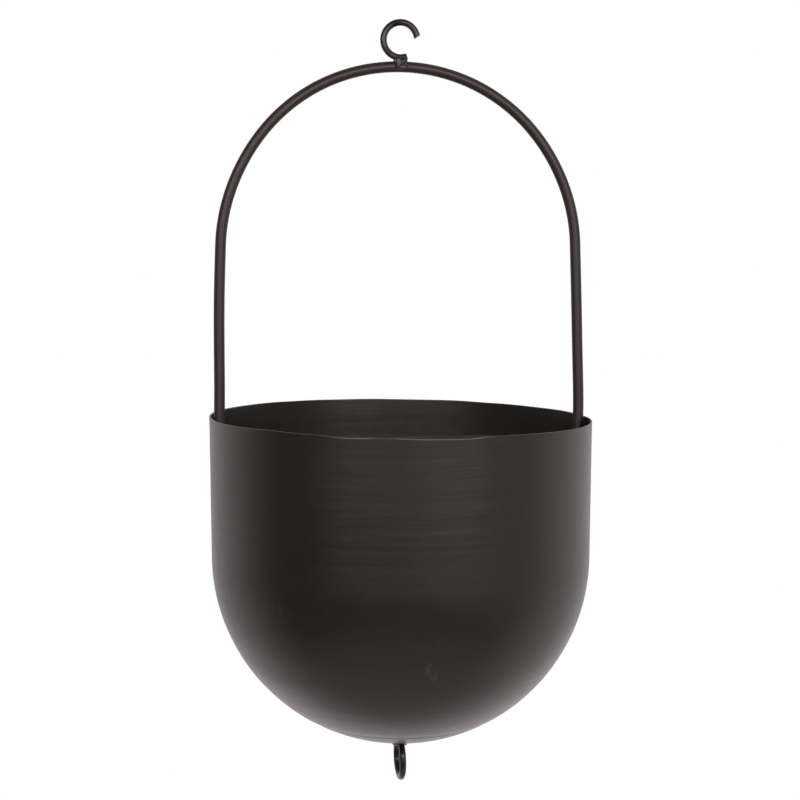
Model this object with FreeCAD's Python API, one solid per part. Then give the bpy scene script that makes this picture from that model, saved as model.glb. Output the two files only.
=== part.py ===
import FreeCAD, Part
import math
import os

# Sizes of the plant holder, in millimetres and degrees

# Bowl, spun from sheet: a straight wall that tapers in to a round bottom
RIM_DIAMETER = 220.0
SHEET = 1.0
WALL_DEPTH = 79.6
WALL_TAPER = 0.5
RIM_ROUND = 0.3

# Arch, bent from one round bar: its legs spread to meet the wall inside the rim
BAR_DIAMETER = 6.2
ARCH_RISE = 199.6
LEG_SPREAD = 1.3
LEG_DEPTH = 30.0

# Top hook, an open loop of wire in the plane of the arch, angles from +X towards +Z
HOOK_WIRE = 3.8
HOOK_BEND_RADIUS = 10.0
HOOK_TIP_ANGLE = 12.0
HOOK_HEEL_ANGLE = 291.0

# Bottom ring, a closed loop of wire across the plane of the arch
RING_WIRE = 3.8
RING_BEND_RADIUS = 11.0

# Weld beads: the gap that each one fills, its radius and its length along the seam
HOOK_WELD_GAP = 0.2
HOOK_WELD_RADIUS = 3.0
HOOK_WELD_LENGTH = 2.6
HOOK_WELD_OFFSET = 0.4
RING_WELD_GAP = 0.6
RING_WELD_RADIUS = 3.4
RING_WELD_LENGTH = 4.0
LEG_WELD_GAP = 0.3
LEG_WELD_RADIUS = 4.2
LEG_WELD_LENGTH = 18.0

# Places that follow from the sizes. The origin is the seat inside the top of the hook
TAPER = math.radians(WALL_TAPER)
SPREAD = math.radians(LEG_SPREAD)
BAR_RADIUS = BAR_DIAMETER / 2

HOOK_CENTRE_Z = HOOK_WIRE / 2 - HOOK_BEND_RADIUS
HOOK_BOTTOM_Z = HOOK_CENTRE_Z - HOOK_BEND_RADIUS - HOOK_WIRE / 2
CROWN_TOP_Z = HOOK_BOTTOM_Z - HOOK_WELD_GAP
CROWN_Z = CROWN_TOP_Z - BAR_RADIUS
RIM_Z = CROWN_Z - ARCH_RISE

KNEE_RADIUS = RIM_DIAMETER / 2 - WALL_DEPTH * math.tan(TAPER)
DOME_RADIUS = KNEE_RADIUS / math.cos(TAPER)
DOME_CENTRE_Z = RIM_Z - WALL_DEPTH + DOME_RADIUS * math.sin(TAPER)
POLE_Z = DOME_CENTRE_Z - DOME_RADIUS

RING_TOP_Z = POLE_Z - RING_WELD_GAP
RING_CENTRE_Z = RING_TOP_Z - RING_WIRE / 2 - RING_BEND_RADIUS

# The leg's outer side stands off the inside of the wall by the weld gap at the leg's end
LEG_END_Z = RIM_Z - LEG_DEPTH
WALL_INSIDE_AT_LEG = RIM_DIAMETER / 2 - SHEET / math.cos(TAPER) - LEG_DEPTH * math.tan(TAPER)
LEG_END_X = WALL_INSIDE_AT_LEG - LEG_WELD_GAP - BAR_RADIUS / math.cos(SPREAD)

# The arc that has its top at the crown and runs into both legs without a corner
ARCH_RADIUS = (
    LEG_END_X * math.cos(SPREAD) + (LEG_END_Z - CROWN_Z) * math.sin(SPREAD)
) / (1 - math.sin(SPREAD))
ARCH_CENTRE_Z = CROWN_Z - ARCH_RADIUS

UP = FreeCAD.Vector(0, 0, 1)
RIGHT = FreeCAD.Vector(1, 0, 0)
TO_FRONT = FreeCAD.Vector(0, -1, 0)


def point(x, y, z):
    return FreeCAD.Vector(x, y, z)


def bowl_form(inset):
    """The bowl's outer form as a full solid, drawn in by inset all round below the rim plane."""
    radius = DOME_RADIUS - inset

    def on_dome(angle):
        return point(radius * math.cos(angle), 0, DOME_CENTRE_Z - radius * math.sin(angle))

    knee = on_dome(TAPER)
    pole = on_dome(math.pi / 2)
    halfway = on_dome((TAPER + math.pi / 2) / 2)
    rim = point(knee.x + (RIM_Z - knee.z) * math.tan(TAPER), 0, RIM_Z)
    rim_centre = point(0, 0, RIM_Z)
    outline = [
        Part.LineSegment(rim_centre, rim).toShape(),
        Part.LineSegment(rim, knee).toShape(),
        Part.Arc(knee, halfway, pole).toShape(),
        Part.LineSegment(pole, rim_centre).toShape(),
    ]
    return Part.Face(Part.Wire(outline)).revolve(rim_centre, UP, 360)


def bowl():
    """The spun shell, with both edges of its rim rounded over."""
    shell = bowl_form(0).cut(bowl_form(SHEET))
    rim_edges = [edge for edge in shell.Edges if edge.BoundBox.ZMin > RIM_Z - SHEET]
    return shell.makeFillet(min(RIM_ROUND, 0.45 * SHEET), rim_edges)


def hanger_arch():
    """The bent bar: a leg, the arc over the crown and the other leg, in one sweep."""
    bend_x = ARCH_RADIUS * math.cos(SPREAD)
    bend_z = ARCH_CENTRE_Z + ARCH_RADIUS * math.sin(SPREAD)
    left_end = point(-LEG_END_X, 0, LEG_END_Z)
    left_bend = point(-bend_x, 0, bend_z)
    right_bend = point(bend_x, 0, bend_z)
    right_end = point(LEG_END_X, 0, LEG_END_Z)
    path = Part.Wire([
        Part.LineSegment(left_end, left_bend).toShape(),
        Part.Arc(left_bend, point(0, 0, CROWN_Z), right_bend).toShape(),
        Part.LineSegment(right_bend, right_end).toShape(),
    ])
    section = Part.Circle(left_end, left_bend - left_end, BAR_RADIUS).toShape()
    return path.makePipe(Part.Face(Part.Wire(section)))


def bent_wire(centre, axis, start, bend_radius, wire, sweep):
    """Round wire bent about an axis, from the direction start, through sweep degrees."""
    section = Part.Circle(centre + start * bend_radius, axis.cross(start), wire / 2).toShape()
    return Part.Face(Part.Wire(section)).revolve(centre, axis, sweep)


def top_hook():
    """The open loop, from its tip on the right, over the top and round to its heel on the crown."""
    tip = math.radians(HOOK_TIP_ANGLE)
    return bent_wire(
        point(0, 0, HOOK_CENTRE_Z),
        TO_FRONT,
        point(math.cos(tip), 0, math.sin(tip)),
        HOOK_BEND_RADIUS,
        HOOK_WIRE,
        HOOK_HEEL_ANGLE - HOOK_TIP_ANGLE,
    )


def bottom_ring():
    """The closed ring that hangs under the pole of the bowl."""
    return bent_wire(point(0, 0, RING_CENTRE_Z), RIGHT, UP, RING_BEND_RADIUS, RING_WIRE, 360)


def bead(start, end, radius):
    """A round-ended run of weld along a seam, before its neighbours are cut out of it."""
    along = end - start
    run = Part.makeCylinder(radius, along.Length, start, along)
    ends = [Part.makeSphere(radius, start), Part.makeSphere(radius, end)]
    return run.fuse(ends).removeSplitter()


def hook_weld(arch, hook):
    """The lump between the crown of the arch and the foot of the hook, a little left of the middle."""
    seam_z = (HOOK_BOTTOM_Z + CROWN_TOP_Z) / 2
    half = HOOK_WELD_LENGTH / 2
    lump = bead(
        point(-HOOK_WELD_OFFSET - half, 0, seam_z),
        point(-HOOK_WELD_OFFSET + half, 0, seam_z),
        HOOK_WELD_RADIUS,
    )
    return lump.cut([arch, hook])


def ring_weld(ring):
    """The flare between the pole of the bowl and the top of the ring, outside the bowl."""
    seam_z = (POLE_Z + RING_TOP_Z) / 2
    half = RING_WELD_LENGTH / 2
    lump = bead(point(0, -half, seam_z), point(0, half, seam_z), RING_WELD_RADIUS)
    return lump.cut([bowl_form(0), ring])


def leg_weld(arch, side):
    """The bead round the end of a leg, inside the bowl: side is 1 for the right leg, -1 for the left."""
    seam_x = side * (WALL_INSIDE_AT_LEG - LEG_WELD_GAP / 2)
    run = bead(
        point(seam_x, 0, LEG_END_Z),
        point(seam_x, 0, LEG_END_Z + LEG_WELD_LENGTH),
        LEG_WELD_RADIUS,
    )
    return run.common(bowl_form(SHEET)).cut(arch)


def build():
    """Every piece of the holder by its name."""
    arch = hanger_arch()
    hook = top_hook()
    ring = bottom_ring()
    return {
        "bowl": bowl(),
        "hanger_arch": arch,
        "top_hook": hook,
        "bottom_ring": ring,
        "hook_weld": hook_weld(arch, hook),
        "ring_weld": ring_weld(ring),
        "left_leg_weld": leg_weld(arch, -1),
        "right_leg_weld": leg_weld(arch, 1),
    }


os.makedirs("parts", exist_ok=True)
for name, shape in build().items():
    print(name, "solids", len(shape.Solids), "valid", shape.isValid(), "volume", round(shape.Volume, 1))
    shape.exportStep(f"parts/{name}.step")
print("rim", round(RIM_Z, 3), "pole", round(POLE_Z, 3), "arch radius", round(ARCH_RADIUS, 3))
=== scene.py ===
"""The looks of a hanging plant holder: a spun steel bowl on a bent bar arch, all painted matt black.

Lengths are in metres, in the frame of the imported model: the origin is the seat inside the top hook,
+Z is up and -Y is the front. Each piece is a closed skin over a grid of points and stands for one node.
"""

import logging
import math
from dataclasses import dataclass, field
from enum import Enum

import bpy
import numpy as np
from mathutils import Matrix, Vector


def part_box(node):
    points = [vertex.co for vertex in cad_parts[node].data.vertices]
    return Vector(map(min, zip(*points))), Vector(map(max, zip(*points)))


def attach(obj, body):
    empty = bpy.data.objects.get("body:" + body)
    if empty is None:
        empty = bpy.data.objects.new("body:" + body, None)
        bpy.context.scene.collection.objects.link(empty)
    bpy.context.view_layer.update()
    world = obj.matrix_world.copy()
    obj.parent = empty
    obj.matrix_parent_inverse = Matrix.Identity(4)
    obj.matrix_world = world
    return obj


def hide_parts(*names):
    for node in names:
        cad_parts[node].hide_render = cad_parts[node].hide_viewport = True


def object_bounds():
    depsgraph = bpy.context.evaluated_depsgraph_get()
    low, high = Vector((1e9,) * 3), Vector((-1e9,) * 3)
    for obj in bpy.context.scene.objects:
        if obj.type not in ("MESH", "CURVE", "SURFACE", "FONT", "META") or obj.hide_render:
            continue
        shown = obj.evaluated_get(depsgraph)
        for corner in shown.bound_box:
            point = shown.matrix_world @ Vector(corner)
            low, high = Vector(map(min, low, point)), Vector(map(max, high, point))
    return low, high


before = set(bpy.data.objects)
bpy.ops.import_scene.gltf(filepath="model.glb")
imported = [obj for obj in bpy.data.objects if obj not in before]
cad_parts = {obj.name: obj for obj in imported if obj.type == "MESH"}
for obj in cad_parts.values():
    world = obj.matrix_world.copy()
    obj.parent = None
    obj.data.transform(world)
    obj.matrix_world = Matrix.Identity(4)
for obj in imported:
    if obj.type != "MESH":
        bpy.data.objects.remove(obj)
CAD_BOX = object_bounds()

MM = 0.001
ROOT_BODY = "root"
LOG = logging.getLogger("plant_holder")

X_AXIS = np.array((1.0, 0.0, 0.0))
Y_AXIS = np.array((0.0, 1.0, 0.0))
Z_AXIS = np.array((0.0, 0.0, 1.0))

Tree = bpy.types.NodeTree
Socket = bpy.types.NodeSocket

# Sockets of a Mix node that mixes colours, by number, because its other kinds have the same names
COLOUR_A = 6
COLOUR_B = 7
MIXED_COLOUR = 2

# Most values of a noise texture lie between these
NOISE_LOW = 0.3
NOISE_HIGH = 0.7

# Shortest and longest of the waves that make up an unevenness, as shares of its wavelength
WAVE_SHARES = (0.75, 1.35)


class Slot(Enum):
    """Names of the material slots, one stored with each piece."""

    BOWL = "spun_bowl_paint"
    BAR = "bar_paint"
    WELD = "weld_paint"


class Side(Enum):
    """The two legs of the arch, by the sign of X."""

    LEFT = -1
    RIGHT = 1


# Colours, nodes and objects


def linear_colour(hex_code: str) -> tuple[float, float, float, float]:
    """Turn an sRGB hex colour into linear light.

    Args:
        hex_code: Six hex digits after a hash sign.

    Returns:
        Red, green, blue and an alpha of one. Each channel c is c / 12.92 in the dark toe of the curve,
        and ((c + 0.055) / 1.055) to the power 2.4 above it.
    """
    channels = np.array([int(hex_code[i:i + 2], 16) for i in (1, 3, 5)]) / 255
    toe = channels / 12.92
    curve = ((channels + 0.055) / 1.055) ** 2.4
    red, green, blue = np.where(channels <= 0.04045, toe, curve)
    return float(red), float(green), float(blue), 1.0


def per_metre(size_mm: float) -> float:
    """The texture scale at which one feature is about size_mm wide."""
    return 1000 / size_mm


def cleared_tree(owner: bpy.types.Material | bpy.types.World) -> Tree:
    """Give a material or the world a node tree with nothing in it."""
    owner.use_nodes = True
    owner.node_tree.nodes.clear()
    return owner.node_tree


def add_node(
    tree: Tree, kind: str, inputs: dict, output: int | str = 0, **settings: object
) -> Socket | None:
    """Add a node with its settings, fill its sockets and link them.

    Args:
        tree: The node tree of a material or the world.
        kind: The node's type name, without the prefix that they all share.
        inputs: Values or output sockets by the name or number of the input socket.
        output: Name or number of the output socket that is wanted.
        **settings: The node's own properties.

    Returns:
        The output socket, or None for a node that has none.
    """
    node = tree.nodes.new("ShaderNode" + kind)
    for key, value in settings.items():
        setattr(node, key, value)
    for key, value in inputs.items():
        if isinstance(value, Socket):
            tree.links.new(value, node.inputs[key])
        else:
            node.inputs[key].default_value = value
    return node.outputs[output] if node.outputs else None


def add_object(name: str, data: bpy.types.ID) -> bpy.types.Object:
    """Put a mesh, a camera or a light into the scene as an object at the origin."""
    made = bpy.data.objects.new(name, data)
    bpy.context.scene.collection.objects.link(made)
    return made


# Shapes that several pieces share


def unit(vectors: np.ndarray) -> np.ndarray:
    """Each vector divided by its length."""
    return vectors / np.linalg.norm(vectors, axis=-1, keepdims=True)


def joined(x: np.ndarray, y: np.ndarray | float, z: np.ndarray | float) -> np.ndarray:
    """Points from three coordinates, each given by row, by column, by both or as one value."""
    return np.stack(np.broadcast_arrays(x, y, z), axis=-1)


def full_turn(count: int) -> np.ndarray:
    """Even angles all the way round, where the last stops short of the first."""
    return np.linspace(0, 2 * np.pi, count, endpoint=False)


def smooth_step(values: np.ndarray, start: float, end: float) -> np.ndarray:
    """Rise from 0 at start to 1 at end as 3t^2 - 2t^3."""
    t = np.clip((values - start) / (end - start), 0, 1)
    return t * t * (3 - 2 * t)


def hump(values: np.ndarray, centre: float, width: float | np.ndarray) -> np.ndarray:
    """A bell of height 1: the exponential of minus the squared distance from centre in widths."""
    return np.exp(-(((values - centre) / width) ** 2))


@dataclass(frozen=True)
class Bell:
    """A smooth bump along a line, by the place of its middle, its width and its height."""

    at: float
    width: float
    height: float


def sum_of_bells(values: np.ndarray, bells: tuple[Bell, ...]) -> np.ndarray:
    """The heights of several bells, added up at each of the values."""
    return sum(bell.height * hump(values, bell.at, bell.width) for bell in bells)


def waviness(points: np.ndarray, wavelength: float, seed: int, waves: int = 14) -> np.ndarray:
    """Smooth unevenness at points in space.

    It is a sum of sine waves of about one wavelength, which run in random directions with random phases,
    divided by the root of half their number, so that its usual swing is one.

    Args:
        points: Points in the last axis of the array.
        wavelength: Distance from crest to crest.
        seed: Start of the random draws.
        waves: How many sine waves are summed.

    Returns:
        One value for each point.
    """
    draws = np.random.default_rng(seed)
    directions = unit(draws.normal(size=(waves, 3)))
    numbers = 2 * np.pi / (wavelength * draws.uniform(*WAVE_SHARES, waves))
    phases = draws.uniform(0, 2 * np.pi, waves)
    angles = points @ (directions * numbers[:, None]).T + phases
    return np.sin(angles).sum(axis=-1) / math.sqrt(waves / 2)


@dataclass
class Skin:
    """A closed skin over a grid of points, whose columns go round the piece and join up."""

    name: str
    points: np.ndarray
    ring: bool = False
    traces: dict[str, np.ndarray] = field(default_factory=dict)

    def with_tips(self, grid: np.ndarray) -> np.ndarray:
        """Lay a grid of values out as a list, followed by the means of its end rows unless it is a ring.

        Args:
            grid: Rows and columns of values or points.

        Returns:
            One entry for each vertex.
        """
        flat = grid.reshape(-1, *grid.shape[2:])
        if self.ring:
            return flat
        return np.concatenate([flat, grid[:1].mean(axis=1), grid[-1:].mean(axis=1)])

    def faces(self) -> tuple[np.ndarray, np.ndarray]:
        """Number the corners of every face.

        The vertex in row i and column j is i * columns + j. The rows of a ring join up, and otherwise a fan
        of triangles closes each end row on the tip in its middle.

        Returns:
            The four-sided faces and the triangles.
        """
        rows, columns = self.points.shape[:2]
        number = np.arange(rows * columns).reshape(rows, columns)
        if self.ring:
            number = np.concatenate([number, number[:1]])
        beside = np.roll(number, -1, axis=1)
        quads = np.stack([number[:-1], beside[:-1], beside[1:], number[1:]], axis=-1).reshape(-1, 4)
        if self.ring:
            return quads, np.empty((0, 3), int)
        first_tip = np.full(columns, rows * columns)
        fans = [
            np.stack([beside[0], number[0], first_tip], axis=-1),
            np.stack([number[-1], beside[-1], first_tip + 1], axis=-1),
        ]
        return quads, np.concatenate(fans)

    def build(self) -> bpy.types.Object:
        """Make the mesh, with its faces turned outwards.

        The volume is a sixth of the sum, over all triangles, of the triple product of their corners.
        Where it comes out negative the skin is inside out, and every face is turned round.

        Returns:
            The object, at the origin.
        """
        vertices = self.with_tips(self.points)
        quads, triangles = self.faces()
        split = np.concatenate([quads[:, [0, 1, 2]], quads[:, [0, 2, 3]], triangles])
        a, b, c = (vertices[split[:, i]] for i in range(3))
        if np.einsum("ij,ij->", a, np.cross(b, c)) < 0:
            quads = quads[:, ::-1]
            triangles = triangles[:, ::-1]
        mesh = bpy.data.meshes.new(self.name)
        mesh.from_pydata(vertices.tolist(), [], quads.tolist() + triangles.tolist())
        mesh.polygons.foreach_set("use_smooth", np.ones(len(mesh.polygons), bool))
        for name, values in self.traces.items():
            attribute = mesh.attributes.new(name, "FLOAT", "POINT")
            attribute.data.foreach_set("value", self.with_tips(values).astype(np.float32))
        mesh.update()
        return add_object(self.name, mesh)


def cut_rows(length: float, edge: float, spacing: float, edge_rows: int = 7) -> np.ndarray:
    """Distances along a cut bar, even in between and close together where its edges are rounded.

    Args:
        length: Length of the bar.
        edge: Radius of the rounded edge at each end.
        spacing: Distance between rows in between.
        edge_rows: Rows over each rounded edge.

    Returns:
        Distances from 0 to length.
    """
    corner = edge * (1 - np.cos(np.linspace(0, np.pi / 2, edge_rows)))
    between = np.linspace(edge, length - edge, int(length / spacing))
    return np.concatenate([corner[:-1], between, length - corner[-2::-1]])


def cut_radius(rows: np.ndarray, radius: float, edge: float) -> np.ndarray:
    """Radius of a cut bar along its length, where a quarter circle rounds off each end.

    Args:
        rows: Distances along the bar.
        radius: Radius of the bar.
        edge: Radius of the rounded edge.

    Returns:
        The radius at each row: radius - edge at the cut, and the full radius one edge further in.
    """
    inside = np.clip(np.minimum(rows - rows[0], rows[-1] - rows), 0, edge)
    return radius - edge + np.sqrt(edge**2 - (edge - inside) ** 2)


def sweep(
    path: np.ndarray, radius: np.ndarray, across: np.ndarray, sides: int, ring: bool = False
) -> np.ndarray:
    """Carry a round section along a path.

    A point at the angle a round the section is the path's point plus the radius times
    (cos a times the side vector + sin a times the cross product of the path's direction with it).

    Args:
        path: Points of the centre line.
        radius: Radius for each row, or for each row and side.
        across: A direction that the path never runs along, which gives the side vector.
        sides: Points round the section.
        ring: Whether the path closes on itself.

    Returns:
        A grid of points, with a row for each point of the path.
    """
    if ring:
        ahead = np.roll(path, -1, axis=0) - np.roll(path, 1, axis=0)
    else:
        ahead = np.gradient(path, axis=0)
    ahead = unit(ahead)
    side = unit(across - (ahead @ across)[:, None] * ahead)
    upward = np.cross(ahead, side)
    turn = full_turn(sides)[None, :, None]
    reach = np.broadcast_to(np.reshape(radius, (len(path), -1)), (len(path), sides))[:, :, None]
    return path[:, None] + reach * (np.cos(turn) * side[:, None] + np.sin(turn) * upward[:, None])


# Finishes


@dataclass(frozen=True)
class BlackEnamel:
    """Matt black enamel, sprayed on steel and baked.

    It gives the eye a warm near-black with a dull sheen, which turns pale at a glancing angle.
    """

    name: str
    colour: str = "#23211e"
    haze: str = "#262421"
    haze_mm: float = 35.0
    ior: float = 1.5
    shine_level: float = 0.5
    shine_tint: str = "#fff6f6"
    smoothest: float = 0.31
    roughest: float = 0.345
    patches_in_haze: float = 4.0
    peel_mm: float = 1.3
    peel_depth_mm: float = 0.004

    def relief(self, tree: Tree, place: Socket) -> Socket:
        """Add the fine orange peel of the sprayed coat.

        Args:
            tree: The material's nodes.
            place: Object coordinates.

        Returns:
            The bumped normal.
        """
        scale = per_metre(self.peel_mm)
        peel = add_node(tree, "TexNoise", {"Vector": place, "Scale": scale, "Detail": 2.0})
        depth = self.peel_depth_mm * MM
        return add_node(tree, "Bump", {"Height": peel, "Distance": depth, "Strength": 1.0})

    def tint(self, tree: Tree, place: Socket) -> Socket:
        """Add the thin and thick places of the coat, where it turns a little paler.

        Args:
            tree: The material's nodes.
            place: Object coordinates.

        Returns:
            The colour.
        """
        scale = per_metre(self.haze_mm)
        cloud = add_node(tree, "TexNoise", {"Vector": place, "Scale": scale, "Detail": 4.0})
        colours = {COLOUR_A: linear_colour(self.colour), COLOUR_B: linear_colour(self.haze)}
        return add_node(tree, "Mix", {"Factor": cloud, **colours}, MIXED_COLOUR, data_type="RGBA")

    def shine(self, tree: Tree) -> float | Socket:
        """How much the coat reflects, where a half is usual for paint."""
        return self.shine_level

    def material(self) -> bpy.types.Material:
        """Make the material, once for all the pieces that wear it.

        Returns:
            The material by this finish's name.
        """
        known = bpy.data.materials.get(self.name)
        if known:
            return known
        made = bpy.data.materials.new(self.name)
        tree = cleared_tree(made)
        place = add_node(tree, "TexCoord", {}, "Object")
        scale = per_metre(self.haze_mm / self.patches_in_haze)
        patches = add_node(tree, "TexNoise", {"Vector": place, "Scale": scale, "Detail": 5.0})
        noise_span = {"From Min": NOISE_LOW, "From Max": NOISE_HIGH}
        gloss_span = {"To Min": self.smoothest, "To Max": self.roughest}
        roughness = add_node(tree, "MapRange", {"Value": patches, **noise_span, **gloss_span})
        shader = add_node(
            tree,
            "BsdfPrincipled",
            {
                "Base Color": self.tint(tree, place),
                "Roughness": roughness,
                "Metallic": 0.0,
                "IOR": self.ior,
                "Specular IOR Level": self.shine(tree),
                "Specular Tint": linear_colour(self.shine_tint),
                "Normal": self.relief(tree, place),
            },
        )
        add_node(tree, "OutputMaterial", {"Surface": shader})
        return made


@dataclass(frozen=True)
class HungEnamel(BlackEnamel):
    """The enamel on the hook, which is dull and dark where it hung on a rod while it was sprayed."""

    dull_shine: float = 0.1
    dark_colour: str = "#0e0d0d"

    def tint(self, tree: Tree, place: Socket) -> Socket:
        """Darken the colour where the skin is marked as bare.

        Args:
            tree: The material's nodes.
            place: Object coordinates.

        Returns:
            The colour.
        """
        bare = add_node(tree, "Attribute", {}, "Fac", attribute_name="bare")
        colours = {COLOUR_A: super().tint(tree, place), COLOUR_B: linear_colour(self.dark_colour)}
        return add_node(tree, "Mix", {"Factor": bare, **colours}, MIXED_COLOUR, data_type="RGBA")

    def shine(self, tree: Tree) -> Socket:
        """Take the shine away where the skin is marked as bare.

        Args:
            tree: The material's nodes.

        Returns:
            The specular level.
        """
        bare = add_node(tree, "Attribute", {}, "Fac", attribute_name="bare")
        levels = {"To Min": self.shine_level, "To Max": self.dull_shine}
        return add_node(tree, "MapRange", {"Value": bare, **levels})


@dataclass(frozen=True)
class Scuff:
    """A pale rub in the coat: its place round the bowl and below the rim, its size and how far it leans."""

    azimuth: float
    down_mm: float
    length_mm: float
    width_mm: float
    lean: float
    strength: float


@dataclass(frozen=True)
class SpunEnamel(BlackEnamel):
    """The enamel over spun steel, where the turning lines of the spinning tool show through the coat.

    Single lines are too fine to show, so they are drawn as coarse as the bands that they make to the eye.
    A few pale rubs show where the bowl was handled.
    """

    line_mm: float = 8.0
    line_run_mm: float = 150.0
    line_depth_mm: float = 0.37
    line_fade_from_mm: float = 45.0
    line_fade_to_mm: float = 100.0
    line_left: float = 0.4
    girth_mm: float = 110.0
    rub_colour: str = "#5c5552"
    rub_core: float = 0.2
    rub_grain_mm: float = 1.8
    rub_grain_low: float = 0.42
    rub_grain_high: float = 0.66
    scuffs: tuple[Scuff, ...] = (
        Scuff(azimuth=-150.5, down_mm=7.0, length_mm=1.5, width_mm=0.9, lean=80, strength=0.8),
        Scuff(azimuth=-135.6, down_mm=95.0, length_mm=5.0, width_mm=1.6, lean=78, strength=0.4),
        Scuff(azimuth=-87.5, down_mm=107.5, length_mm=4.0, width_mm=1.3, lean=130, strength=0.4),
        Scuff(azimuth=-90.5, down_mm=126.0, length_mm=6.5, width_mm=2.2, lean=105, strength=0.4),
        Scuff(azimuth=-88.5, down_mm=131.0, length_mm=6.0, width_mm=4.0, lean=80, strength=0.35),
    )

    def tint(self, tree: Tree, place: Socket) -> Socket:
        """Add the rubs to the colour of the coat.

        The skin is rolled out flat: across is the angle round the axis times the girth's radius, and down
        is the distance along the meridian. Each rub is an ellipse there, pale in its core, which fades to
        its edge and is broken by fine noise.

        Args:
            tree: The material's nodes.
            place: Object coordinates.

        Returns:
            The colour.
        """
        girth = self.girth_mm * MM
        parts = add_node(tree, "SeparateXYZ", {"Vector": place}).node.outputs
        angle = add_node(tree, "Math", {0: parts["Y"], 1: parts["X"]}, operation="ARCTAN2")
        across = add_node(tree, "Math", {0: angle, 1: girth}, operation="MULTIPLY")
        down = add_node(tree, "Attribute", {}, "Fac", attribute_name="meridian")
        flat = add_node(tree, "CombineXYZ", {"X": across, "Y": down})
        rubbed = 0.0
        for scuff in self.scuffs:
            ellipse = {
                "Location": (math.radians(scuff.azimuth) * girth, scuff.down_mm * MM, 0),
                "Rotation": (0, 0, math.radians(scuff.lean)),
                "Scale": (scuff.length_mm * MM, scuff.width_mm * MM, 1),
            }
            own = add_node(tree, "Mapping", {"Vector": flat, **ellipse}, vector_type="TEXTURE")
            away = add_node(tree, "VectorMath", {0: own}, "Value", operation="LENGTH")
            fade = {"From Min": self.rub_core, "To Min": scuff.strength, "To Max": 0.0}
            mark = add_node(tree, "MapRange", {"Value": away, **fade}, interpolation_type="SMOOTHSTEP")
            rubbed = add_node(tree, "Math", {0: rubbed, 1: mark}, operation="MAXIMUM")
        scale = per_metre(self.rub_grain_mm)
        grain = add_node(tree, "TexNoise", {"Vector": place, "Scale": scale, "Detail": 3.0})
        grain_span = {"From Min": self.rub_grain_low, "From Max": self.rub_grain_high}
        patches = add_node(tree, "MapRange", {"Value": grain, **grain_span})
        broken = add_node(tree, "Math", {0: rubbed, 1: patches}, operation="MULTIPLY")
        colours = {COLOUR_A: super().tint(tree, place), COLOUR_B: linear_colour(self.rub_colour)}
        return add_node(tree, "Mix", {"Factor": broken, **colours}, MIXED_COLOUR, data_type="RGBA")

    def relief(self, tree: Tree, place: Socket) -> Socket:
        """Add turning lines under the orange peel.

        The lines are noise that is drawn out round the bowl: it changes every line_mm down the meridian,
        and only every line_run_mm across it. They are fainter on the round bottom and inside.

        Args:
            tree: The material's nodes.
            place: Object coordinates.

        Returns:
            The bumped normal.
        """
        down = add_node(tree, "Attribute", {}, "Fac", attribute_name="meridian")
        parts = add_node(tree, "SeparateXYZ", {"Vector": place}).node.outputs
        lengths = {"X": parts["X"], "Y": parts["Y"], "Z": down}
        sizes_mm = {"X": self.line_run_mm, "Y": self.line_run_mm, "Z": self.line_mm}
        drawn_out = {}
        for axis, length in lengths.items():
            scale = per_metre(sizes_mm[axis])
            drawn_out[axis] = add_node(tree, "Math", {0: length, 1: scale}, operation="MULTIPLY")
        along = add_node(tree, "CombineXYZ", drawn_out)
        lines = add_node(tree, "TexNoise", {"Vector": along, "Scale": 1.0, "Detail": 4.0})
        fade_span = {"From Min": self.line_fade_from_mm * MM, "From Max": self.line_fade_to_mm * MM}
        levels = {"To Min": 1.0, "To Max": self.line_left}
        strength = add_node(tree, "MapRange", {"Value": down, **fade_span, **levels})
        bumps = {"Height": lines, "Distance": self.line_depth_mm * MM, "Strength": strength}
        return add_node(tree, "Bump", {**bumps, "Normal": super().relief(tree, place)})


BOWL_ENAMEL = SpunEnamel(name="Matt black enamel on spun steel")
BAR_ENAMEL = BlackEnamel(
    name="Matt black enamel on drawn steel bar",
    colour="#26201d",
    haze="#292320",
    haze_mm=14.0,
    smoothest=0.44,
    roughest=0.49,
    peel_depth_mm=0.002,
)
WIRE_ENAMEL = HungEnamel(
    name="Matt black enamel on bent steel wire",
    colour="#221d1a",
    haze="#25201d",
    haze_mm=14.0,
    smoothest=0.36,
    roughest=0.4,
    peel_depth_mm=0.001,
)
RING_ENAMEL = BlackEnamel(
    name="Satin black enamel on the ring of steel wire",
    colour="#241e1c",
    haze="#27211f",
    haze_mm=14.0,
    smoothest=0.24,
    roughest=0.28,
    peel_depth_mm=0.001,
)
WELD_ENAMEL = BlackEnamel(
    name="Matt black enamel on rough weld",
    colour="#2a2322",
    haze="#342b29",
    haze_mm=4.0,
    smoothest=0.36,
    roughest=0.5,
    peel_mm=0.9,
    peel_depth_mm=0.02,
)


# Pieces


@dataclass
class Piece:
    """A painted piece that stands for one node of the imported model."""

    node: str
    finish: BlackEnamel
    slot: Slot

    def __post_init__(self) -> None:
        """Take the node's box from its mesh in the imported model."""
        low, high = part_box(self.node)
        self.low = np.array(low)
        self.high = np.array(high)

    def skin(self) -> Skin:
        """The surface of the piece."""
        raise NotImplementedError

    def name(self) -> str:
        """The name of the painted piece."""
        return "painted_" + self.node

    def build(self) -> bpy.types.Object:
        """Make the piece, paint it and let it ride on the holder in the node's place.

        Returns:
            The finished object.
        """
        made = self.skin().build()
        made.data.materials.append(self.finish.material())
        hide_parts(self.node)
        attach(made, ROOT_BODY)
        LOG.info("%s: %d faces, %s", made.name, len(made.data.polygons), self.finish.name)
        return made


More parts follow.
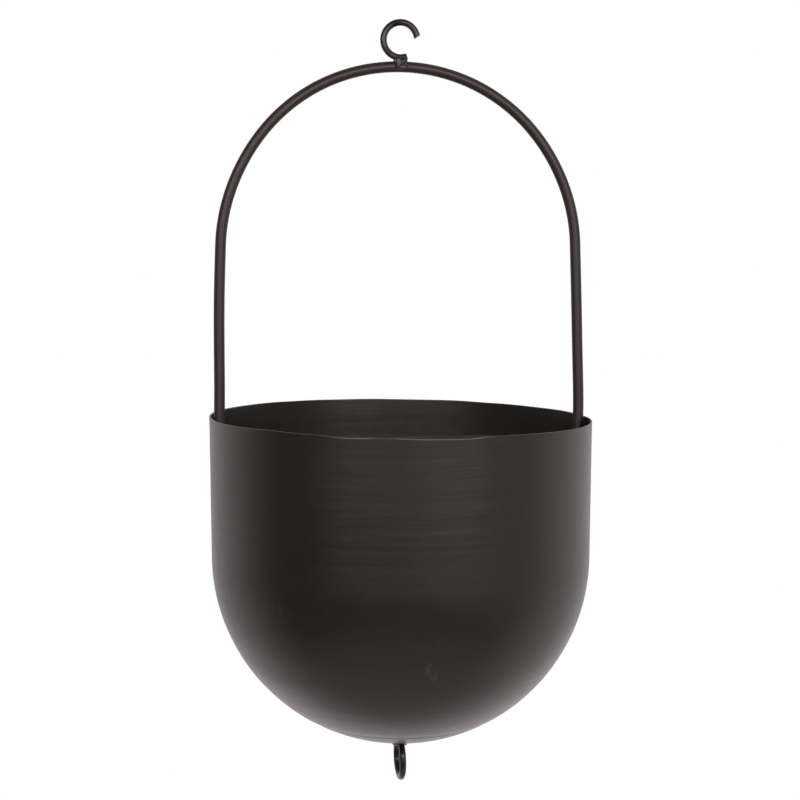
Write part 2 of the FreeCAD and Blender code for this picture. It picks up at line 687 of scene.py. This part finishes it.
@dataclass(frozen=True)
class Knock:
    """A stretch of the rim where the edge was knocked in, bent along a crease and drawn up and thin.

    Attributes:
        start: Angles in degrees between which it begins.
        end: Angles in degrees between which it ends.
        rise: How much higher the edge is.
        height: How far below the edge the crease is.
        inward: How far the outside of the edge is moved in.
        thinned: Share of the sheet's thickness that is lost at the edge.
        least: Share of the knock below which the crease comes no nearer to the edge.
    """

    start: tuple[float, float]
    end: tuple[float, float]
    rise: float
    height: float
    inward: float
    thinned: float
    least: float = 0.01

    def share(self, turn: np.ndarray) -> np.ndarray:
        """How far the edge is knocked in at each angle: 1 within the stretch, easing to 0 at both ends."""
        degrees = np.degrees(turn)
        return smooth_step(degrees, *self.start) * (1 - smooth_step(degrees, *self.end))

    def shift(self, down: np.ndarray, turn: np.ndarray, depth: np.ndarray) -> np.ndarray:
        """How far inwards the points move: a straight slope from nothing at the crease to most at the edge.

        Args:
            down: Length of each row below the edge.
            turn: Angle of each column.
            depth: How deep each row lies in the sheet, from its outside.

        Returns:
            The move of each row and column. The crease rises to the edge where the knock eases out.
        """
        share = self.share(turn)
        crease = self.height * np.maximum(share, self.least)
        bent = share * np.clip(1 - down[:, None] / crease, 0, 1)
        return bent * (self.inward - self.thinned * depth[:, None])


@dataclass
class Bowl(Piece):
    """The bowl, spun from sheet: a straight wall that tapers in a little, and a round bottom."""

    node: str = "bowl"
    finish: BlackEnamel = BOWL_ENAMEL
    slot: Slot = Slot.BOWL
    sheet: float = 1.0 * MM
    wall_depth: float = 80.2 * MM
    taper: float = math.radians(0.5)
    columns: int = 320
    row_spacing: float = 2.5 * MM
    lip_rows: int = 13
    lip_spacing: float = 0.3 * MM
    lip_zone: float = 4 * MM
    groove: float = 0.02 * MM
    groove_width: float = 18 * MM
    groove_stretch: float = 4.0
    rim_lift: float = 0.24 * MM
    rim_tilt: float = 1.5 * MM
    rim_high_side: float = math.radians(181)
    rim_wave: float = 0.1 * MM
    rim_wave_width: float = 40 * MM
    rim_bells: tuple[Bell, ...] = (
        Bell(at=38, width=18, height=-0.3),
        Bell(at=68, width=12, height=0.24),
        Bell(at=224, width=12, height=0.36),
        Bell(at=245, width=5, height=-0.4),
        Bell(at=264, width=16, height=-0.45),
        Bell(at=279, width=4, height=-0.3),
        Bell(at=287, width=4, height=0.45),
        Bell(at=294, width=4, height=0.3),
        Bell(at=301, width=9, height=0.5),
    )
    rim_fade: float = 60 * MM
    knocks: tuple[Knock, ...] = (
        Knock(
            start=(257, 265),
            end=(279, 288),
            rise=1.7 * MM,
            height=2.05 * MM,
            inward=1.02 * MM,
            thinned=0.8,
        ),
        Knock(
            start=(238, 246),
            end=(251, 258),
            rise=0.35 * MM,
            height=0.9 * MM,
            inward=0.25 * MM,
            thinned=0.2,
        ),
    )
    flare: float = 0.08 * MM
    flare_depth: float = 10 * MM
    mark_from_pole: float = 55.5 * MM
    mark_width: float = 1.2 * MM
    mark_fade: float = 4.0 * MM
    mark_depth: float = 0.18 * MM
    mark_spacing: float = 0.5 * MM
    mark_above: float = 10 * MM
    mark_below: float = 3.6 * MM

    def __post_init__(self) -> None:
        """Work out the places that follow from the rim and the wall."""
        super().__post_init__()
        self.rim_z = self.high[2]
        self.rim_radius = max(self.high[:2].max(), -self.low[:2].min())
        self.wall_length = self.wall_depth / math.cos(self.taper)
        self.dome_radius = (self.rim_radius - self.wall_depth * math.tan(self.taper)) / math.cos(self.taper)
        self.dome_z = self.rim_z - self.wall_depth + self.dome_radius * math.sin(self.taper)
        self.length = self.wall_length + self.dome_radius * (math.pi / 2 - self.taper)

    def meridian(self, down: np.ndarray) -> tuple[np.ndarray, np.ndarray, np.ndarray, np.ndarray]:
        """Follow the outside from the rim to the pole.

        The wall is a straight line at the taper angle, and the dome a circle that it runs into without a
        corner.

        Args:
            down: Distances along the outside from the rim.

        Returns:
            The distance from the axis, the height, and the outward normal's two parts.
        """
        lean = self.taper + np.clip(down - self.wall_length, 0, None) / self.dome_radius
        wall_radius = self.rim_radius - down * math.sin(self.taper)
        wall_z = self.rim_z - down * math.cos(self.taper)
        on_wall = down < self.wall_length
        radius = np.where(on_wall, wall_radius, self.dome_radius * np.cos(lean))
        height = np.where(on_wall, wall_z, self.dome_z - self.dome_radius * np.sin(lean))
        return radius, height, np.cos(lean), -np.sin(lean)

    def edge_lift(self, down: np.ndarray, turn: np.ndarray) -> np.ndarray:
        """How far the sheet reaches above its drawn line near the rim, which was cut by hand.

        Args:
            down: Distances along the meridian from the rim, one for each row.
            turn: Angles round the axis, one for each column.

        Returns:
            The rise of each row and column: a tilt to one side, a small wave, a few bells in millimetres by
            degrees, and the knocked edge, which was drawn up. They all fade out below the rim.
        """
        rim = self.rim_radius * joined(np.cos(turn), np.sin(turn), 0)
        wave = self.rim_wave * waviness(rim, self.rim_wave_width, seed=7)
        at_rim = self.rim_lift + self.rim_tilt * np.cos(turn - self.rim_high_side) + wave
        at_rim = at_rim + MM * sum_of_bells(np.degrees(turn), self.rim_bells)
        at_rim = at_rim + sum(knock.rise * knock.share(turn) for knock in self.knocks)
        return at_rim * (1 - smooth_step(down, 0, self.rim_fade))[:, None]

    def rows(self) -> tuple[np.ndarray, np.ndarray]:
        """Lay out the rows: outside from the pole to the lip, over the lip and down inside.

        They are even on the dome and the wall, and closer together at the mark and near the lip. The lip is
        a half circle as wide as the sheet.

        Returns:
            The distance of each row along the meridian from the rim, and its depth in the sheet.
        """
        half = self.sheet / 2
        even_count = int((self.length - self.lip_zone) / self.row_spacing)
        even = np.linspace(self.length - self.row_spacing / 2, self.lip_zone, even_count)
        at_mark = np.arange(-self.mark_above, self.mark_below, self.mark_spacing)
        to_lip = np.union1d(even, at_mark + self.length - self.mark_from_pole)[::-1]
        near_lip = np.linspace(self.lip_zone, half, int(self.lip_zone / self.lip_spacing))
        outside = np.concatenate([to_lip, near_lip[1:-1]])
        inside = outside[::-1]
        lip = np.linspace(0, np.pi, self.lip_rows)
        down = np.concatenate([outside, half - half * np.sin(lip), inside])
        depth = np.concatenate([0 * outside, half - half * np.cos(lip), np.full_like(inside, self.sheet)])
        return down, depth

    def skin(self) -> Skin:
        """Turn the meridian round the axis.

        Every point is moved along the normal by the same shallow grooves inside and out, because the sheet
        is thin. They run round the bowl. At the rim the sheet flares out as the square of the share of the
        flare's depth still to go up. Where the bottom was held for the spinning a mark goes all round, a
        bell across it that is steeper on the pole's side. Where the edge was knocked in, the outside slopes
        to the inside in a straight line, so that it ends in a wedge.

        Returns:
            The skin, with the level distance below the rim at each point, which runs on inside.
        """
        down, depth = self.rows()
        radius, height, normal_r, normal_z = self.meridian(down)
        turn = full_turn(self.columns)
        around = joined(np.cos(turn), np.sin(turn), 0)
        middle = radius[:, None, None] * around + height[:, None, None] * Z_AXIS
        normal = normal_r[:, None, None] * around + normal_z[:, None, None] * Z_AXIS
        stretched = middle / (self.groove_stretch, self.groove_stretch, 1)
        grooves = self.groove * waviness(stretched, self.groove_width, seed=5)
        flare = self.flare * np.clip(1 - down / self.flare_depth, 0, 1) ** 2
        mark = self.length - self.mark_from_pole
        pressed = self.mark_depth * hump(down, mark, np.where(down < mark, self.mark_fade, self.mark_width))
        inward = depth[:, None] + sum(knock.shift(down, turn, depth) for knock in self.knocks)
        offset = grooves + (flare - pressed)[:, None] - inward
        lift = self.edge_lift(down, turn)
        points = middle + offset[:, :, None] * normal + lift[:, :, None] * Z_AXIS
        trace = down[:, None] - lift + np.where(depth > self.sheet / 2, self.length, 0)[:, None]
        return Skin(self.name(), points, traces={"meridian": trace})


@dataclass
class Arch(Piece):
    """The arch, bent by hand from one round bar, with two straight legs that spread towards the wall."""

    node: str = "hanger_arch"
    finish: BlackEnamel = BAR_ENAMEL
    slot: Slot = Slot.BAR
    spread: float = math.radians(1.3)
    cut_edge: float = 0.5 * MM
    row_spacing: float = 1.5 * MM
    sides: int = 40
    fade: float = 38 * MM
    bends_mm: tuple[Bell, ...] = (
        Bell(at=-250, width=26, height=-0.28),
        Bell(at=-188, width=40, height=0.74),
        Bell(at=-110, width=30, height=-0.32),
        Bell(at=-40, width=45, height=0.35),
        Bell(at=70, width=40, height=-0.15),
        Bell(at=110, width=30, height=-0.32),
        Bell(at=205, width=45, height=0.58),
        Bell(at=250, width=26, height=0.65),
    )

    def __post_init__(self) -> None:
        """Work out the arc that runs into both legs without a corner."""
        super().__post_init__()
        sine = math.sin(self.spread)
        cosine = math.cos(self.spread)
        self.radius = (self.high[1] - self.low[1]) / 2
        self.end_z = self.low[2] + self.radius * sine
        crown_z = self.high[2] - self.radius
        end_x = self.high[0] - self.radius * cosine
        self.bend = (end_x * cosine + (self.end_z - crown_z) * sine) / (1 - sine)
        self.centre_z = crown_z - self.bend
        self.arc_length = self.bend * (math.pi / 2 - self.spread)
        leg_length = (self.centre_z + self.bend * sine - self.end_z) / cosine
        self.half_length = self.arc_length + leg_length

    def unevenness(self, along: np.ndarray) -> np.ndarray:
        """How far the hand-bent bar lies outside its drawn line.

        It is a sum of bells, one for each place where the bar was bent, and fades out at the legs' ends.

        Args:
            along: Distances from the crown, negative on the left.

        Returns:
            The outward offset at each distance.
        """
        held = smooth_step(self.half_length - np.abs(along), 0, self.fade)
        return MM * sum_of_bells(along / MM, self.bends_mm) * held

    def path(self, along: np.ndarray) -> np.ndarray:
        """The centre line: a circle over the crown and a straight leg on each side.

        Args:
            along: Distances from the crown, negative on the left.

        Returns:
            Points in the plane of the arch, moved outwards by the unevenness.
        """
        away = np.abs(along)
        turn = np.minimum(away, self.arc_length) / self.bend
        beyond = np.clip(away - self.arc_length, 0, None)
        reach = self.bend + self.unevenness(along)
        x = np.sign(along) * (reach * np.sin(turn) + beyond * math.sin(self.spread))
        z = self.centre_z + reach * np.cos(turn) - beyond * math.cos(self.spread)
        return joined(x, 0, z)

    def skin(self) -> Skin:
        """Carry the round bar along its path, with a rounded edge at each cut end."""
        rows = cut_rows(2 * self.half_length, self.cut_edge, self.row_spacing)
        radius = cut_radius(rows, self.radius, self.cut_edge)
        return Skin(self.name(), sweep(self.path(rows - self.half_length), radius, Y_AXIS, self.sides))


@dataclass
class Hook(Piece):
    """The hook, an open loop of wire whose tip is bent in a little and whose foot stands on the crown."""

    node: str = "top_hook"
    finish: BlackEnamel = WIRE_ENAMEL
    slot: Slot = Slot.BAR
    tip: float = math.radians(10)
    heel: float = math.radians(291)
    closer: float = 0.15 * MM
    tip_in: float = 0.3 * MM
    tip_in_from: float = math.radians(75)
    tip_slant: float = math.radians(22)
    slant_fade: float = 3 * MM
    cut_edge: float = 0.35 * MM
    row_spacing: float = 0.12 * MM
    sides: int = 40
    grip_at: float = math.radians(222)
    grip_width: float = math.radians(16)
    grip_pitch: float = 0.78 * MM
    grip_depth: float = 0.2 * MM
    bare_at: float = math.radians(108)
    bare_width: float = math.radians(20)
    bare_from_radii: float = -1.2
    bare_to_radii: float = 0.1

    def __post_init__(self) -> None:
        """Work out the wire and the bend from the node's box."""
        super().__post_init__()
        self.radius = (self.high[1] - self.low[1]) / 2
        self.bend = -self.low[0] - self.radius
        self.centre_z = self.high[2] - self.radius - self.bend

    def skin(self) -> Skin:
        """Carry the wire round its bend.

        The bend is a circle whose radius shrinks towards the tip. The jaws that held the wire left a run of
        dents on its front, a cosine wave along it within a bell, times the root of the cosine of the angle
        from the front. The tip is cut on a slant: near it each point moves along the wire by the tangent of
        the slant times its distance inwards. The bare patch is a bell along the wire on its inner side.

        Returns:
            The skin of the hook, marked where its coat is bare.
        """
        rows = cut_rows(self.bend * (self.heel - self.tip), self.cut_edge, self.row_spacing)
        angle = self.tip + rows / self.bend
        bent_in = self.tip_in * (1 - smooth_step(angle, self.tip, self.tip_in_from))
        outward = joined(np.cos(angle), 0, np.sin(angle))
        towards_tip = joined(np.sin(angle), 0, -np.cos(angle))
        path = (self.bend - self.closer - bent_in)[:, None] * outward + self.centre_z * Z_AXIS
        gripped = hump(angle, self.grip_at, self.grip_width)
        teeth = self.grip_depth * gripped * (1 + np.cos(2 * np.pi * rows / self.grip_pitch)) / 2
        facing = np.sqrt(np.clip(-np.cos(full_turn(self.sides)), 0, 1))
        radius = cut_radius(rows, self.radius, self.cut_edge)[:, None] - teeth[:, None] * facing
        points = sweep(path, radius, Y_AXIS, self.sides)
        inwards = -np.einsum("ijk,ik->ij", points - path[:, None], outward)
        slant = math.tan(self.tip_slant) * (1 - smooth_step(rows, 0, self.slant_fade))
        points = points + (slant[:, None] * inwards)[:, :, None] * towards_tip[:, None]
        inner_side = smooth_step(inwards / self.radius, self.bare_from_radii, self.bare_to_radii)
        bare = hump(angle, self.bare_at, self.bare_width)[:, None] * inner_side
        return Skin(self.name(), points, traces={"bare": bare})


@dataclass
class BottomRing(Piece):
    """The closed ring of wire under the bowl, which hangs a little out of true."""

    node: str = "bottom_ring"
    finish: BlackEnamel = RING_ENAMEL
    slot: Slot = Slot.BAR
    lean: float = 0.012
    twist: float = 0.013
    aside: float = -0.6 * MM
    raised: float = 0.1 * MM
    flat: float = 0.15 * MM
    flat_turn: float = 0.6
    rows: int = 160
    sides: int = 40

    def __post_init__(self) -> None:
        """Work out the wire and the bend from the node's box."""
        super().__post_init__()
        self.radius = (self.high[0] - self.low[0]) / 2
        self.bend = (self.high[1] - self.low[1]) / 2 - self.radius
        self.centre_z = (self.high[2] + self.low[2]) / 2

    def skin(self) -> Skin:
        """Carry the wire round a circle.

        It is a little flat at two sides, more so lower down, stands to the left of the axis, leans to the
        right going down and is turned a little about the upright.

        Returns:
            The skin of the ring.
        """
        angle = full_turn(self.rows)
        flatter = (1 - np.cos(2 * angle - self.flat_turn)) / 2 * (1 - np.sin(angle)) / 2
        reach = self.bend - self.flat * flatter
        height = reach * np.sin(angle)
        fore_aft = reach * np.cos(angle)
        sideways = self.aside + self.lean * (self.bend - height) - self.twist * fore_aft
        path = joined(sideways, fore_aft, self.centre_z + self.raised + height)
        radius = np.full(self.rows, self.radius)
        return Skin(self.name(), sweep(path, radius, X_AXIS, self.sides, ring=True), ring=True)


@dataclass(frozen=True)
class Lump:
    """A swelling or a hollow on the front of a weld, by its place, its width and its height."""

    x_mm: float
    z_mm: float
    width_mm: float
    out_mm: float


@dataclass
class HookWeld(Piece):
    """The lump of weld between the hook's foot and the crown, which has run down the front of the bar."""

    node: str = "hook_weld"
    finish: BlackEnamel = WELD_ENAMEL
    slot: Slot = Slot.WELD
    aside: float = 0.3 * MM
    half_x: float = 3.7 * MM
    half_y: float = 4.3 * MM
    half_z: float = 3.9 * MM
    below_seam: float = 1.6 * MM
    squareness: float = 0.45
    lumps: tuple[Lump, ...] = (
        Lump(x_mm=1.2, z_mm=1.0, width_mm=1.8, out_mm=0.6),
        Lump(x_mm=-0.3, z_mm=-1.6, width_mm=1.0, out_mm=-0.6),
        Lump(x_mm=-2.0, z_mm=-1.2, width_mm=1.1, out_mm=0.4),
    )
    swell: float = 0.16 * MM
    swell_width: float = 3.4 * MM
    blister: float = 0.06 * MM
    blister_width: float = 1.5 * MM
    rows: int = 72
    columns: int = 96

    def squared(self, values: np.ndarray) -> np.ndarray:
        """Sines or cosines raised to the squareness, with their signs kept."""
        return np.sign(values) * np.abs(values) ** self.squareness

    def skin(self) -> Skin:
        """A squarish ellipsoid with lumps.

        At the height angle v and the turn u its point is each half size times cos v cos u, cos v sin u and
        sin v, with every sine and cosine raised to the squareness. Swellings move it in or out, and each
        lump moves the front forwards or back within a bell.

        Returns:
            The skin of the weld.
        """
        tilt = np.linspace(-np.pi / 2, np.pi / 2, self.rows + 2)[1:-1, None]
        turn = full_turn(self.columns)[None, :]
        level = self.squared(np.cos(tilt))
        form = joined(
            self.half_x * level * self.squared(np.cos(turn)),
            self.half_y * level * self.squared(np.sin(turn)),
            self.half_z * self.squared(np.sin(tilt)),
        )
        swell = self.swell * waviness(form, self.swell_width, seed=11)
        swell = swell + self.blister * waviness(form, self.blister_width, seed=12)
        front = smooth_step(-form[:, :, 1], 0, self.half_y)
        forwards = np.zeros_like(front)
        for lump in self.lumps:
            away = np.hypot(form[:, :, 0] - lump.x_mm * MM, form[:, :, 2] - lump.z_mm * MM)
            forwards = forwards + front * lump.out_mm * MM * hump(away, 0, lump.width_mm * MM)
        centre = (self.low + self.high) / 2 + self.aside * X_AXIS - self.below_seam * Z_AXIS
        points = centre + form + swell[:, :, None] * unit(form) - forwards[:, :, None] * Y_AXIS
        return Skin(self.name(), points)


@dataclass
class RingWeld(Piece):
    """The weld that spreads from the ring's wire to the bottom of the bowl."""

    node: str = "ring_weld"
    finish: BlackEnamel = WELD_ENAMEL
    slot: Slot = Slot.WELD
    top_x: float = 6.2 * MM
    top_y: float = 4.6 * MM
    foot_x: float = 2.5 * MM
    foot_y: float = 3.2 * MM
    aside: float = -0.55 * MM
    sunk: float = 0.2 * MM
    depth: float = 6.15 * MM
    lump: float = 0.2 * MM
    lump_width: float = 3.0 * MM
    rows: int = 40
    columns: int = 72

    def skin(self) -> Skin:
        """A rounded bead: an oval that narrows as a quarter ellipse on its way down.

        Its top lies within the thickness of the bowl, and its foot closes round the wire.

        Returns:
            The skin of the weld.
        """
        fall = np.linspace(0, np.pi / 2, self.rows)[:, None]
        turn = full_turn(self.columns)[None, :]
        form = joined(
            (self.foot_x + (self.top_x - self.foot_x) * np.cos(fall)) * np.cos(turn),
            (self.foot_y + (self.top_y - self.foot_y) * np.cos(fall)) * np.sin(turn),
            self.high[2] + self.sunk - self.depth * np.sin(fall),
        )
        outward = unit(form * (1, 1, 0))
        lumps = self.lump * waviness(form, self.lump_width, seed=21)
        return Skin(self.name(), form + self.aside * X_AXIS + lumps[:, :, None] * outward)


@dataclass(kw_only=True)
class LegWeld(Piece):
    """The bead that runs down one side of a leg, round its end and up the other side, against the wall."""

    bowl: Bowl
    arch: Arch
    side: Side
    finish: BlackEnamel = WELD_ENAMEL
    slot: Slot = Slot.WELD
    bead: float = 1.9 * MM
    off_bar: float = 3.3 * MM
    off_wall: float = 1.5 * MM
    run: float = 17 * MM
    turn_above_end: float = 0.6 * MM
    turn_depth: float = 2.2 * MM
    ripple: float = 0.35 * MM
    ripple_pitch: float = 1.7 * MM
    ripple_middle: float = 0.6
    taper: float = 2.4 * MM
    blunt_end: float = 0.05
    row_spacing: float = 0.2 * MM
    sides: int = 28

    def path(self) -> np.ndarray:
        """The seam: straight down beside the leg, half an ellipse under its end, and straight up again.

        It keeps a steady distance from the inside of the wall, a circle round the axis at every height.

        Returns:
            Points of the centre line.
        """
        straight = np.arange(self.run, 0, -self.row_spacing)
        turn = np.linspace(0, np.pi, int(math.pi * self.off_bar / self.row_spacing))
        beside = np.full_like(straight, self.off_bar)
        y = np.concatenate([-beside, -self.off_bar * np.cos(turn), beside])
        rise = np.concatenate([straight, -self.turn_depth * np.sin(turn), straight[::-1]])
        z = self.arch.end_z + self.turn_above_end + rise
        wall = self.bowl.meridian(self.bowl.rim_z - z)[0] - self.bowl.sheet
        x = self.side.value * (np.sqrt(wall**2 - y**2) - self.off_wall)
        return joined(x, y, z)

    def skin(self) -> Skin:
        """Carry a round section along the seam, with the ripples of the weld pool and tapered ends.

        The ripples are the absolute value of a sine wave along the seam, and an ellipse tapers each end.

        Returns:
            The skin of the weld.
        """
        path = self.path()
        steps = np.linalg.norm(np.diff(path, axis=0), axis=1)
        along = np.concatenate([[0], np.cumsum(steps)])
        to_end = np.clip(np.minimum(along, along[-1] - along) / self.taper, self.blunt_end, 1)
        crests = np.abs(np.sin(np.pi * along / self.ripple_pitch)) - self.ripple_middle
        radius = (self.bead + self.ripple * crests) * np.sqrt(1 - (1 - to_end) ** 2)
        return Skin(self.name(), sweep(path, radius, X_AXIS, self.sides))


# Studio


@dataclass(frozen=True)
class Zone:
    """A part of the room that is lighter or darker than plain white, as the paint sees it.

    The bearing is from the camera's side of the object, positive to the right in the picture, and the
    height is above the horizon. The change is full within the inner angle and gone at the outer one.
    """

    bearing: float
    height: float
    inner: float
    outer: float
    change: float


@dataclass(frozen=True)
class SoftLight:
    """A soft light on an upright plane behind the camera, by its edges from the middle of that plane."""

    left: float
    right: float
    low: float
    high: float
    radiance: float


@dataclass
class Studio:
    """A plain white studio with soft lights by the camera, a pale floor and the photograph's viewpoint."""

    turn: float = math.radians(8.994)
    distance: float = 1.07172
    above_rim: float = 0.11226
    pitch: float = math.radians(5.457)
    lens_mm: float = 83.96
    sensor_mm: float = 36.0
    aim: float = math.radians(0.02)
    floor_drop: float = 1.3
    floor_radius: float = 1.8
    floor_forward: float = 0.8
    floor_thickness: float = 2 * MM
    floor_colour: str = "#fcf8f9"
    floor_first_row: float = 0.02
    floor_fades_from: float = 0.3
    floor_rows: int = 24
    floor_columns: int = 96
    room_level: float = 0.88
    room_colour: str = "#fff6f8"
    seen_colour: str = "#ffffff"
    zones: tuple[Zone, ...] = (
        Zone(bearing=-6.6, height=4, inner=47, outer=126, change=-1.1),
        Zone(bearing=41, height=0, inner=3, outer=43.5, change=0.57),
        Zone(bearing=180, height=-45, inner=10, outer=45, change=0.25),
        Zone(bearing=-155, height=-8, inner=10, outer=45, change=-0.09),
    )
    lights_bearing: float = 2.0
    lights_distance: float = 1.15
    lights: tuple[SoftLight, ...] = (
        SoftLight(left=-1.06, right=-0.07, low=-0.03, high=0.44, radiance=6.2),
        SoftLight(left=0.07, right=1.22, low=-0.03, high=0.44, radiance=6.5),
        SoftLight(left=-1.06, right=1.22, low=-0.49, high=-0.38, radiance=1.2),
    )

    def direction(self, bearing: float, height: float) -> np.ndarray:
        """The direction from the object at a bearing from the camera's side and a height, both in degrees.

        Args:
            bearing: Angle from the camera's side, positive to the right in the picture.
            height: Angle above the horizon.

        Returns:
            A unit vector.
        """
        around = math.radians(bearing) - self.turn
        up = math.radians(height)
        level = math.cos(up)
        return np.array((level * math.sin(around), -level * math.cos(around), math.sin(up)))

    def camera(self, rim_z: float) -> None:
        """Stand the camera to the left of the front, a little above the rim.

        Args:
            rim_z: Height of the bowl's rim.
        """
        lens = bpy.data.cameras.new("viewpoint")
        lens.lens = self.lens_mm
        lens.sensor_width = self.sensor_mm
        made = add_object("viewpoint", lens)
        made.location = tuple(self.distance * self.direction(0, 0) + (rim_z + self.above_rim) * Z_AXIS)
        made.rotation_euler = (math.pi / 2 - self.pitch, 0, self.aim - self.turn)
        bpy.context.scene.camera = made

    def room(self) -> None:
        """Light the object from a white room with a few zones that are lighter or darker.

        The level in a direction is the room's plus, for each zone, its change times a smooth step of the
        cosine of the angle from the zone's middle. The camera sees plain white everywhere.
        """
        world = bpy.data.worlds.new("studio")
        tree = cleared_tree(world)
        towards = add_node(tree, "TexCoord", {}, "Generated")
        level = self.room_level
        for zone in self.zones:
            pair = {0: towards, 1: tuple(self.direction(zone.bearing, zone.height))}
            near = add_node(tree, "VectorMath", pair, "Value", operation="DOT_PRODUCT")
            span = {
                "From Min": math.cos(math.radians(zone.outer)),
                "From Max": math.cos(math.radians(zone.inner)),
                "To Max": zone.change,
            }
            change = add_node(tree, "MapRange", {"Value": near, **span}, interpolation_type="SMOOTHSTEP")
            level = add_node(tree, "Math", {0: level, 1: change}, operation="ADD")
        seen = add_node(tree, "LightPath", {}, "Is Camera Ray")
        strength = add_node(tree, "Math", {0: level, 1: seen}, operation="MAXIMUM")
        colours = {COLOUR_A: linear_colour(self.room_colour), COLOUR_B: linear_colour(self.seen_colour)}
        colour = add_node(tree, "Mix", {"Factor": seen, **colours}, MIXED_COLOUR, data_type="RGBA")
        light = add_node(tree, "Background", {"Color": colour, "Strength": strength})
        add_node(tree, "OutputWorld", {"Surface": light})
        bpy.context.scene.world = world

    def soft_lights(self) -> None:
        """Stand the soft lights behind the camera, facing the object.

        The power of each is its radiance times pi times its area.
        """
        facing = self.direction(self.lights_bearing, 0)
        across = np.cross(Z_AXIS, facing)
        for light in self.lights:
            panel = bpy.data.lights.new("soft_light", "AREA")
            panel.shape = "RECTANGLE"
            panel.color = linear_colour(self.room_colour)[:3]
            panel.size = light.right - light.left
            panel.size_y = light.high - light.low
            panel.energy = light.radiance * math.pi * panel.size * panel.size_y
            made = add_object("soft_light", panel)
            middle = (light.left + light.right) / 2 * across + (light.low + light.high) / 2 * Z_AXIS
            made.location = tuple(self.lights_distance * facing + middle)
            made.rotation_euler = (math.pi / 2, 0, math.radians(self.lights_bearing) - self.turn)

    def floor_paint(self, centre: np.ndarray) -> bpy.types.Material:
        """Make the pale matt paint of the floor, which fades out by a smooth step towards its edge.

        Args:
            centre: Middle of the floor.

        Returns:
            The material.
        """
        paint = bpy.data.materials.new("Pale matt floor paint")
        tree = cleared_tree(paint)
        place = add_node(tree, "TexCoord", {}, "Object")
        far = add_node(tree, "VectorMath", {0: place, 1: tuple(centre)}, "Value", operation="DISTANCE")
        fade_span = {"From Min": self.floor_fades_from * self.floor_radius, "From Max": self.floor_radius}
        fade = add_node(tree, "MapRange", {"Value": far, **fade_span}, interpolation_type="SMOOTHSTEP")
        matt = add_node(tree, "BsdfDiffuse", {"Color": linear_colour(self.floor_colour)})
        clear = add_node(tree, "BsdfTransparent", {})
        faded = add_node(tree, "MixShader", {0: fade, 1: matt, 2: clear})
        add_node(tree, "OutputMaterial", {"Surface": faded})
        return paint

    def floor(self, lowest: float) -> None:
        """Lay a round pale floor below the object and the camera.

        Args:
            lowest: Height of the lowest point of the object.
        """
        share = np.linspace(self.floor_first_row, 1, self.floor_rows)[:, None, None]
        turn = full_turn(self.floor_columns)
        disc = self.floor_radius * share * joined(np.cos(turn), np.sin(turn), 0)
        under = disc[::-1] - self.floor_thickness * Z_AXIS
        centre = self.floor_forward * self.direction(0, 0) + (lowest - self.floor_drop) * Z_AXIS
        made = Skin("floor", np.concatenate([disc, under]) + centre).build()
        made.data.materials.append(self.floor_paint(centre))

    def build(self, rim_z: float, lowest: float) -> None:
        """Set up the camera, the room, the soft lights and the floor.

        Args:
            rim_z: Height of the bowl's rim.
            lowest: Height of the lowest point of the object.
        """
        self.camera(rim_z)
        self.room()
        self.soft_lights()
        self.floor(lowest)
        bpy.context.scene.view_settings.view_transform = "Standard"
        LOG.info("studio: camera, room, soft lights and floor")


def main() -> None:
    """Build every piece, then the studio."""
    logging.basicConfig(level=logging.INFO, format="%(name)s: %(message)s")
    bowl = Bowl()
    arch = Arch()
    pieces = [
        bowl,
        arch,
        Hook(),
        BottomRing(),
        HookWeld(),
        RingWeld(),
        LegWeld(node="left_leg_weld", bowl=bowl, arch=arch, side=Side.LEFT),
        LegWeld(node="right_leg_weld", bowl=bowl, arch=arch, side=Side.RIGHT),
    ]
    for piece in pieces:
        piece.build()
    Studio().build(bowl.rim_z, CAD_BOX[0].z)


if __name__ == "__main__":
    main()
